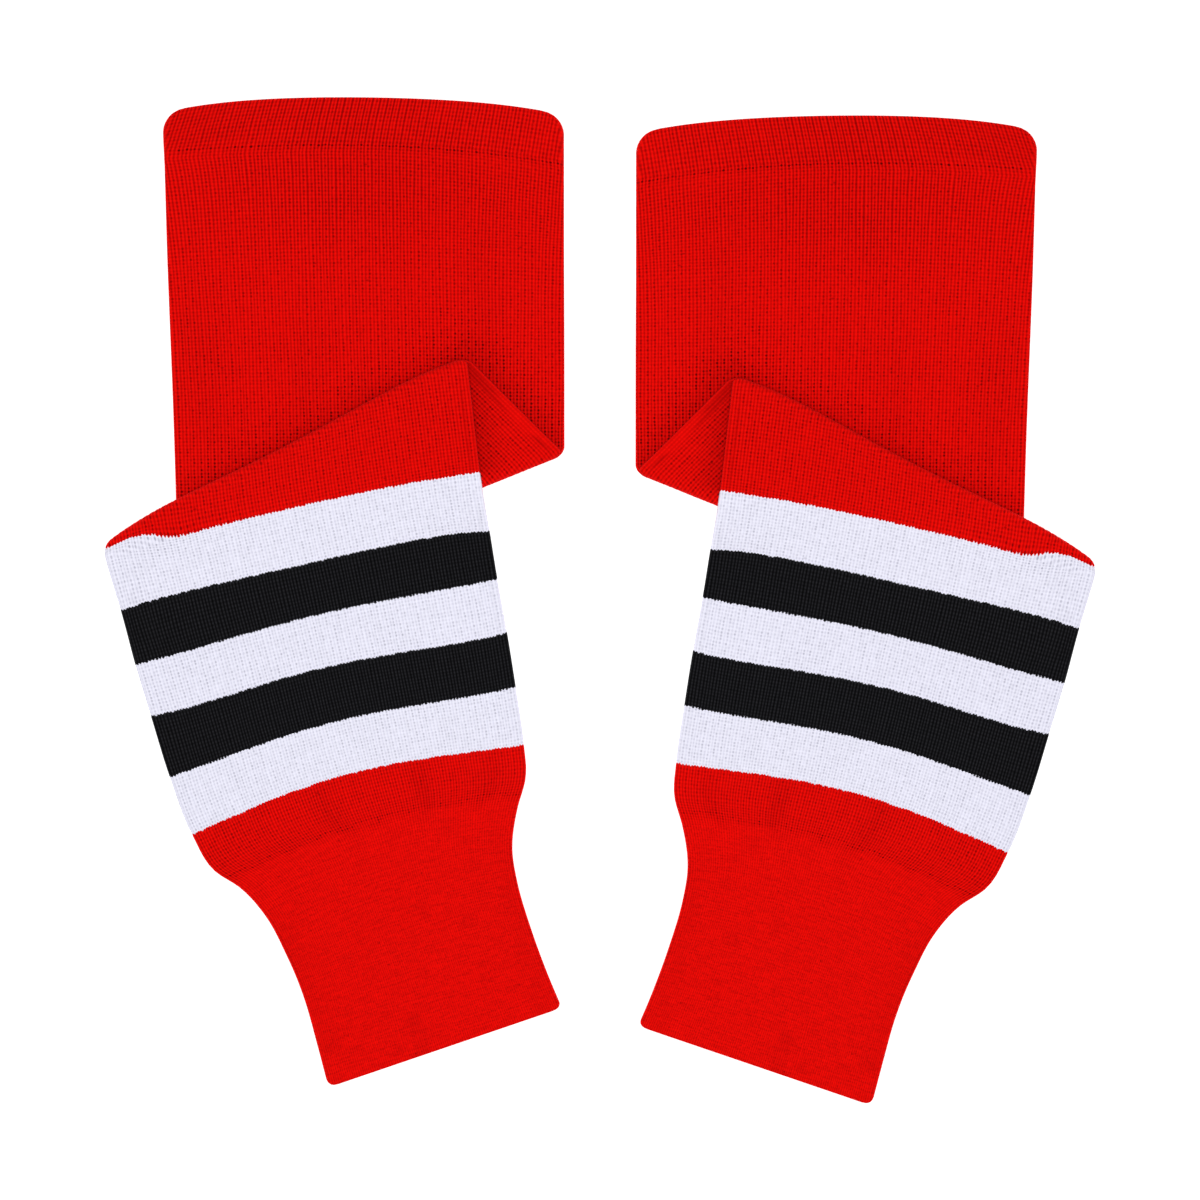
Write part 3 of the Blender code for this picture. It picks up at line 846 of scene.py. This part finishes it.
print("the red of the yarn, linear:", np.round(linear("#DA0703"), 3).tolist())

# %% [markdown]
# Every rib has two dark columns: the valley at its edge and, between its two legs, the ladder of
# holes. How far a point is from the nearest column comes from a ping-pong of its place across the
# ribs, which is cheap and exact. Real wales wander a little, so a slow noise, stretched along the
# tube, moves that place first. The facts that the mesh knows come in as attributes.

# %% Columns of the knit
WANDER = 0.35  # ribs
uv = add("UVMap", uv_map="knit")
known = {
    label: add("Attribute", attribute_name=label).outputs["Fac"]
    for label in ("hole_gape_and_painted_shade", "furrow", "smooth", "painted_edge_shade", "crease")
}
stretched = add("VectorMath", [uv, (0.45, 0.03, 1.0)], operation="MULTIPLY")
slow = add("TexNoise", {"Vector": stretched, "Scale": 1.0, "Detail": 1.0}, noise_dimensions="2D")
sway = add("Math", [slow, 0.5], operation="SUBTRACT")
place = add("SeparateXYZ", [uv])
course = place.outputs["Y"]
across = add("Math", [sway, WANDER, place.outputs["X"]], operation="MULTIPLY_ADD")
to_valley = add("Math", [across, 0.5], operation="PINGPONG")
to_column = add("Math", [across, 0.25], operation="PINGPONG")
between_rows = add("Math", [course, 0.5], operation="PINGPONG")
print("one hole every", COURSE, "mm of a rib", RIB_PITCH, "mm wide, and wales wander by", WANDER, "ribs")

# %% [markdown]
# No two stitches are pulled alike. One noise, as fine as a stitch, makes the legs uneven, and a
# slow one makes whole patches of the knit tighter or looser than others. A third, between them,
# shades the knit a little and makes the start of the ankle's rib ragged.

# %% Unevenness
CLOUD_SCALE, PATCH_SCALE = 0.28, 0.11  # of them in a rib
RAGGED = 5.0  # courses, where the ankle's rib starts
uneven = add("TexNoise", {"Vector": uv, "Scale": 0.9, "Detail": 4.0}, noise_dimensions="2D")
clouds = add("TexNoise", {"Vector": uv, "Scale": CLOUD_SCALE, "Detail": 2.0}, noise_dimensions="2D")
patches = add("TexNoise", {"Vector": uv, "Scale": PATCH_SCALE, "Detail": 3.0}, noise_dimensions="2D")
ragged = add("Math", [clouds, RAGGED, course], operation="MULTIPLY_ADD")
pulled = add("Math", [1.0, known["smooth"]], operation="SUBTRACT")
looseness = add("MapRange", [patches, 0.3, 0.7, 0.90, 1.12])
loose = add("Math", [looseness, pulled], operation="MULTIPLY")
print("patches:", round(RIB_PITCH / PATCH_SCALE), "mm, clouds:", round(RIB_PITCH / CLOUD_SCALE), "mm")

# %% [markdown]
# The holes are a Voronoi texture with little randomness. Its cells then stand in rows and columns, half a
# rib by one course, and the distance to a cell's middle is a round hole: a real opening in the knit,
# coloured dark with painted shade for the recess that light hardly reaches. The cell's own random colour
# makes some holes wide and lets others close. They are dark where the knit gapes and close up where it is
# pulled smooth round a fold. In two rows the knit was linked on the machine, and every hole of them gapes:
# where the turned welt is fixed down, and above the rib.

# %% Holes of the plain part
JITTER = 0.24
HOLE_INSIDE, HOLE_OUTSIDE = 0.12, 0.48  # from a hole's middle, in half ribs
cell_across = add("Math", [across, 2.0, JITTER / 2], operation="MULTIPLY_ADD")
cell_course = add("Math", [course, JITTER / 2], operation="ADD")
cells = add("CombineXYZ", [cell_across, cell_course])
stitch = add("TexVoronoi", {"Vector": cells, "Scale": 1.0, "Randomness": JITTER}, voronoi_dimensions="2D")
chance = add("SeparateColor", [stitch.outputs["Color"]])
hole = add("MapRange", [stitch, HOLE_INSIDE, HOLE_OUTSIDE, 1.0, 0.0], interpolation_type="SMOOTHSTEP")
width = add("MapRange", [chance, 0.0, 1.0, 0.35, 1.15])
hole = add("Math", [hole, width], operation="MULTIPLY")
at_ladder = add("MapRange", [to_valley, 0.15, 0.35, 0.45, 1.0], interpolation_type="SMOOTHSTEP")
painted_hole_shade = add("Math", [hole, at_ladder], operation="MULTIPLY")
welt_linked = add("Math", [course, LINKED_COURSE, 0.6], operation="COMPARE")
rib_linked = add("Math", [ragged, RIB_COURSE - 0.2, 0.7], operation="COMPARE")
linked = add("Math", [rib_linked, 0.5, welt_linked], operation="MULTIPLY_ADD")
hole_opening_and_painted_shade = add("Math", [linked, 0.85, known["hole_gape_and_painted_shade"]], operation="MULTIPLY_ADD")
painted_hole_shade = add("Math", [painted_hole_shade, hole_opening_and_painted_shade], operation="MULTIPLY")
painted_hole_shade = add("Math", [painted_hole_shade, loose], operation="MULTIPLY")
painted_hole_shade = add("Math", [painted_hole_shade, 1.15], operation="MULTIPLY")
print("a hole is", round((HOLE_INSIDE + HOLE_OUTSIDE) * RIB_PITCH / 2, 1), "mm wide at half its darkness")

# %% [markdown]
# The valleys between ribs are soft lines of painted shade, wider and darker in the welt and below its
# seam, which draws the knit in. Between the valleys and the ladders stand the legs of yarn, with a painted
# highlight that is brighter in the middle of a course than where two courses meet.

# %% Valleys and legs of the plain part
valley_width = add("Math", [known["furrow"], 0.11, 0.10], operation="MULTIPLY_ADD")
in_column = add("MapRange", [to_column, 0.0, valley_width, 1.0, 0.0], interpolation_type="SMOOTHSTEP")
by_valley = add("MapRange", [to_valley, 0.15, 0.35, 1.0, 0.0], interpolation_type="SMOOTHSTEP")
valley_share = add("Mix", {0: by_valley, 2: 0.40, 3: known["furrow"]}, data_type="FLOAT")
painted_valley_shade = add("Math", [in_column, valley_share], operation="MULTIPLY")
painted_valley_shade = add("Math", [painted_valley_shade, loose], operation="MULTIPLY")
beads = add("MapRange", [between_rows, 0.0, 0.5, 1.1, 0.8], interpolation_type="SMOOTHSTEP")
painted_valley_shade = add("Math", [painted_valley_shade, beads], operation="MULTIPLY")
legs = add("MapRange", [to_column, 0.06, 0.20], interpolation_type="SMOOTHSTEP")
course_light = add("MapRange", [between_rows, 0.0, 0.5, 0.40, 1.0], interpolation_type="SMOOTHSTEP")
legs = add("Math", [legs, course_light], operation="MULTIPLY")
uneven_light = add("MapRange", [uneven, 0.3, 0.7, 0.75, 1.10])
legs = add("Math", [legs, uneven_light], operation="MULTIPLY")
print("legs of yarn round the tube:", 2 * RIBS_ROUND)

# %% [markdown]
# The rib at the ankle is knitted tighter, so its stitches are narrower and shorter, and the yarn bulges
# over them: the pattern is fine, mottled and low in contrast, in thin streaks along the tube and longer
# ones along the courses. The streaks take the valleys' painted shade, the stitches' holes the holes'
# painted shade, and the legs the painted highlight. Here and there one loose stitch leaves a single dark
# hole.

# %% Stitches of the ankle rib, and loose ones
FINE_JITTER, FINE_COURSE = 0.55, 1.9
fine_across = add("Math", [across, 2.0, FINE_JITTER / 2], operation="MULTIPLY_ADD")
fine_course = add("Math", [course, COURSE / FINE_COURSE, FINE_JITTER / 2], operation="MULTIPLY_ADD")
fine_cells = add("CombineXYZ", [fine_across, fine_course])
fine_stitch = add(
    "TexVoronoi", {"Vector": fine_cells, "Scale": 1.0, "Randomness": FINE_JITTER}, voronoi_dimensions="2D"
)
fine_chance = add("SeparateColor", [fine_stitch.outputs["Color"]])
fine_hole = add("MapRange", [fine_stitch, 0.05, 0.50, 0.44, 0.0], interpolation_type="SMOOTHSTEP")
fine_width = add("MapRange", [fine_chance, 0.0, 1.0, 0.2, 1.0])
fine_hole = add("Math", [fine_hole, fine_width], operation="MULTIPLY")
streaks = add("MapRange", [to_column, 0.0, 0.17, 0.16, 0.0], interpolation_type="SMOOTHSTEP")
flat = add("VectorMath", [uv, (0.20, 1.6, 1.0)], operation="MULTIPLY")
course_streaks = add("TexNoise", {"Vector": flat, "Scale": 1.0, "Detail": 2.0}, noise_dimensions="2D")
course_streaks = add("MapRange", [course_streaks, 0.42, 0.62, 0.0, 0.17], interpolation_type="SMOOTHSTEP")
streaks = add("Math", [streaks, course_streaks], operation="ADD")
fine_legs = add("MapRange", [to_column, 0.03, 0.20, 0.25, 1.0], interpolation_type="SMOOTHSTEP")
fine_legs = add("Math", [fine_legs, uneven_light], operation="MULTIPLY")
in_rib = add("MapRange", [ragged, RIB_COURSE, RIB_COURSE + 3])
lone = add("TexVoronoi", {"Vector": uv, "Scale": 0.14, "Randomness": 1.0}, voronoi_dimensions="2D")
lone_chance = add("SeparateColor", [lone.outputs["Color"]])
lone_hole = add("MapRange", [lone, 0.02, 0.05, 0.5, 0.0], interpolation_type="SMOOTHSTEP")
lone_here = add("MapRange", [lone_chance, 0.86, 0.90])
lone_hole = add("Math", [lone_hole, lone_here], operation="MULTIPLY")
print("ankle stitches, mm:", round(ANKLE_PITCH / 2, 2), "by", FINE_COURSE)

# %% From the plain knit to the rib
painted_hole_shade = add("Mix", {0: in_rib, 2: painted_hole_shade, 3: fine_hole}, data_type="FLOAT")
painted_hole_shade = add("Math", [painted_hole_shade, lone_hole], operation="MAXIMUM")
painted_valley_shade = add("Mix", {0: in_rib, 2: painted_valley_shade, 3: streaks}, data_type="FLOAT")
legs_and_painted_highlight = add("Mix", {0: in_rib, 2: legs, 3: fine_legs}, data_type="FLOAT")
print("the rib begins", RIB_KNIT, "mm from the mouth")

# %% [markdown]
# ## Stripes
#
# The machine changes yarn at the end of a course, so a stripe's edge is a row of stitch tops and
# never a ruled line. The length of knit picks the yarn from a colour ramp with hard steps. Before
# that it is moved by most of a millimetre with each half rib, and a little by chance.

# %% The yarn along the tube
YARN_ORDER = ("white", "black", "white", "black", "white", "red")
STRIPES = [(0, "red")] + [(row.right_knit, yarn) for row, yarn in zip(CALF, YARN_ORDER)]
# After the knit between, each yarn's tones are painted light: a painted highlight on the legs, painted
# shade in the valleys and in the holes.
YARN_AND_PAINTED_TONES = {  # the knit between, the bright legs, the valleys, the holes
    "red": ("#DA0703", "#F50904", "#9E0201", "#680101"),
    "white": ("#ECEBFB", "#F2F1FF", "#DBDAEB", "#B0AFC1"),
    "black": ("#0C0C0E", "#252528", "#08080A", "#030303"),
}
RAMP_FROM, RAMP_TO = 340.0, 580.0
TOOTH, TOOTH_CHANCE = 3.4, 0.8  # mm of knit for a quarter rib, and mm by chance
teeth_middle = (TOOTH * 0.25 + TOOTH_CHANCE) / 2
knit_mm = add("Math", [course, COURSE, -teeth_middle], operation="MULTIPLY_ADD")
knit_mm = add("Math", [to_column, TOOTH, knit_mm], operation="MULTIPLY_ADD")
knit_mm = add("Math", [chance.outputs["Green"], TOOTH_CHANCE, knit_mm], operation="MULTIPLY_ADD")
along_ramp = add("MapRange", [knit_mm, RAMP_FROM, RAMP_TO])
yarn_and_painted_tones = []
for tone in range(4):
    ramp = add("ValToRGB", [along_ramp])
    ramp.color_ramp.interpolation = "CONSTANT"
    for start, yarn in STRIPES:
        at = max(0.0, (start - RAMP_FROM) / (RAMP_TO - RAMP_FROM))
        stop = ramp.color_ramp.elements[0] if start == 0 else ramp.color_ramp.elements.new(at)
        stop.color = linear(YARN_AND_PAINTED_TONES[yarn][tone])
    ramp.color_ramp.elements[-1].color = linear(YARN_AND_PAINTED_TONES["red"][tone])
    yarn_and_painted_tones.append(ramp)
print("stripes:", ", ".join(f"{yarn} from {start} mm" for start, yarn in STRIPES))

# %% Colour of the knit
knit_colour = yarn_and_painted_tones[0].outputs[0]
# The legs take the painted highlight, the valleys and the holes the painted shade.
for share, tone in zip((legs_and_painted_highlight, painted_valley_shade, painted_hole_shade), yarn_and_painted_tones[1:]):
    knit_colour = add("Mix", {0: share, 6: knit_colour, 7: tone}, data_type="RGBA").outputs[2]
shade = add("MapRange", [uneven, 0.25, 0.75, 0.97, 1.02])
cloud_shade = add("MapRange", [clouds, 0.3, 0.7, 0.985, 1.01])
shade = add("Math", [shade, cloud_shade], operation="MULTIPLY")
# Painted shade: the colour is darker where a layer's edge lies on the cloth.
painted_edge_darkening = add("MapRange", [known["painted_edge_shade"], 0.0, 1.0, 1.0, 0.74])
shade = add("Math", [shade, painted_edge_darkening], operation="MULTIPLY")
# Painted shade in the creases: the deeper, the darker.
painted_crease_darkening = add("MapRange", [known["crease"], 0.0, 0.8, 1.0, 0.60])
shade = add("Math", [shade, painted_crease_darkening], operation="MULTIPLY")
knit_colour = add("VectorMath", {0: knit_colour, "Scale": shade}, operation="SCALE")
# This prints each yarn's painted highlight on the legs.
print("tones of yarn:", {yarn: tones[1] for yarn, tones in YARN_AND_PAINTED_TONES.items()})

# %% [markdown]
# The same distances give the relief: the legs stand up, the holes go down, and a fine noise
# stands for the filaments. It is drawn at 0.7 mm, far coarser than the real ones, so that it shows.
# Roughness is high all over and a little lower on the legs, where the filaments lie side by side.
# There is a trace of sheen from the nap and next to no gloss.

# %% Relief, roughness and the shader
relief = add("Math", [in_column, -0.35, 1.0], operation="MULTIPLY_ADD")
relief = add("Math", [hole, -0.6, relief], operation="MULTIPLY_ADD")
fine_relief = add("MapRange", [fine_stitch, 0.0, 0.80, 0.3, 0.8], interpolation_type="SMOOTHSTEP")
relief = add("Mix", {0: in_rib, 2: relief, 3: fine_relief}, data_type="FLOAT")
fibre = add("TexNoise", {"Vector": uv, "Scale": 6.0, "Detail": 3.0}, noise_dimensions="2D")
relief = add("Math", [fibre, 0.35, relief], operation="MULTIPLY_ADD")
bump = add("Bump", {"Height": relief, "Strength": 0.7, "Distance": 0.4 * MM})
roughness = add("MapRange", [legs_and_painted_highlight, 0.0, 1.0, 0.95, 0.82])
cloth = add(
    "BsdfPrincipled",
    {
        "Base Color": knit_colour,
        "Roughness": roughness,
        "Normal": bump,
        "Specular IOR Level": 0.03,
        "Sheen Weight": 0.015,
        "Sheen Roughness": 0.5,
    },
)
add("OutputMaterial", {"Surface": cloth})
for sock in (left_sock, right_sock):
    sock.data.materials.append(rib_knit)
print("nodes in the knit:", len(knit_tree.nodes))

# %% [markdown]
# ## On the part
#
# Each knitted sock rides on the part's one body and stands for its plain solid. Flat, it is 496 mm round
# at the thigh and 721 mm long.

# %% Ride and replace
for sock, node in ((left_sock, "left_sock"), (right_sock, "right_sock")):
    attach(sock, "root")
    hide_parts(node)

# %% [markdown]
# ## The table top, the light and the camera
#
# A product shot from straight above, on white: one large soft light overhead and a bright room, so
# that the only shadows are the soft ones beside the folds.

# %% Floor
floor_mesh = bpy.data.meshes.new("paper_floor")
REACH = 8.0  # metres, so that the camera never sees its edge from above
floor_mesh.from_pydata(
    [(-REACH, -REACH, 0), (REACH, -REACH, 0), (REACH, REACH, 0), (-REACH, REACH, 0)], [], [(0, 1, 2, 3)]
)
floor = bpy.data.objects.new("paper_floor", floor_mesh)
floor.location.z = -0.3 * MM
bpy.context.scene.collection.objects.link(floor)
paper = bpy.data.materials.new("matt_white_paper")
paper.use_nodes = True
paper_shader = paper.node_tree.nodes["Principled BSDF"]
paper_shader.inputs["Base Color"].default_value = linear("#FCFCFC")
paper_shader.inputs["Roughness"].default_value = 0.95
paper_shader.inputs["Specular IOR Level"].default_value = 0.1
paper_shader.inputs["Emission Color"].default_value = (1.0, 1.0, 1.0, 1.0)
paper_shader.inputs["Emission Strength"].default_value = 0.55  # lit from below, as a light table
floor.data.materials.append(paper)
print("floor, m:", 2 * REACH, "each way")

# %% Light
world = bpy.data.worlds.new("bright_room")
world.use_nodes = True
world.node_tree.nodes["Background"].inputs["Color"].default_value = (1.0, 1.0, 1.0, 1.0)
world.node_tree.nodes["Background"].inputs["Strength"].default_value = 0.55
bpy.context.scene.world = world
key = bpy.data.lights.new("soft_key", "AREA")
key.shape = "SQUARE"
key.size = 1.8
key.energy = 35.0
key_light = bpy.data.objects.new("soft_key", key)
key_light.location = (0.0, 0.0, 2.5)
bpy.context.scene.collection.objects.link(key_light)
bpy.context.scene.view_settings.view_transform = "Standard"
bpy.context.scene.view_settings.look = "None"
print("key light, W:", key.energy)

# %% Camera
PHOTO_WIDTH = 1200 * 0.62 * MM  # what the photo shows, at 0.62 mm for each of its pixels
PHOTO_MIDDLE = 0.27 * MM  # its middle, above the middle of the pair
CAMERA_HEIGHT, SCALE_HEIGHT = 3.0, 6 * MM  # the photo's scale holds half way up the stack
camera = bpy.data.cameras.new("camera")
camera.sensor_width = 36.0
camera.lens = camera.sensor_width * (CAMERA_HEIGHT - SCALE_HEIGHT) / PHOTO_WIDTH
camera_object = bpy.data.objects.new("camera", camera)
camera_object.location = (0.0, PHOTO_MIDDLE, CAMERA_HEIGHT)
bpy.context.scene.collection.objects.link(camera_object)
bpy.context.scene.camera = camera_object
print("lens, mm:", round(camera.lens, 1))
